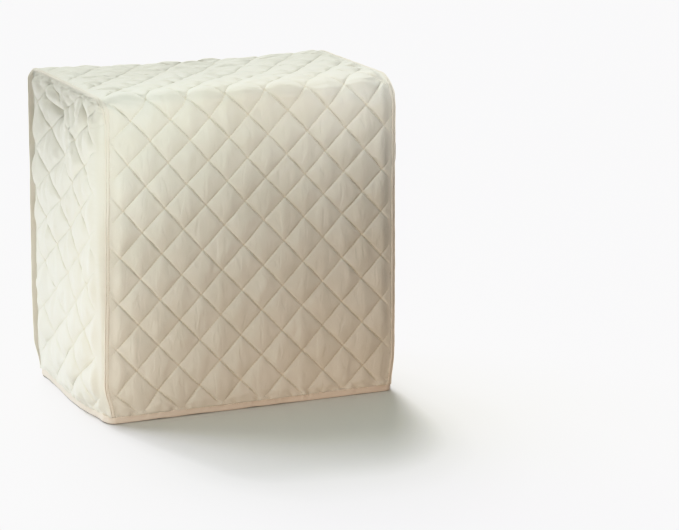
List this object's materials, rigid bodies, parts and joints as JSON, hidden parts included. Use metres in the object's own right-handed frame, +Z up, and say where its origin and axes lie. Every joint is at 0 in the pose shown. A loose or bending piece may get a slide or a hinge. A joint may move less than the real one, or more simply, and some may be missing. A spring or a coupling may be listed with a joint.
{
  "type": "quilted bread maker cover",
  "caption": "Box-shaped quilted cloth cover with bound seams and a bound hem, open underneath to drop over a kitchen appliance.",
  "frame": {"origin": "middle of the cover's bounding box on the surface that the hem stands on", "axes": "+Z up, -Y towards the wide front, +X along the width to the right seen from the front"},
  "size_m": [0.3516, 0.2324, 0.3511],
  "materials": {
    "quilted_cloth": "matt cream cotton, quilted in diamonds",
    "binding_tape": "matt cream bias tape",
    "hem_tape": "matt cream bias tape, slightly pinker"
  },
  "bodies": {
    "root": {"main_panel": "quilted_cloth", "end_panel_left": "quilted_cloth", "end_panel_right": "quilted_cloth", "seam_binding_left": "binding_tape", "seam_binding_right": "binding_tape", "hem_binding": "hem_tape"}
  },
  "joints": []
}
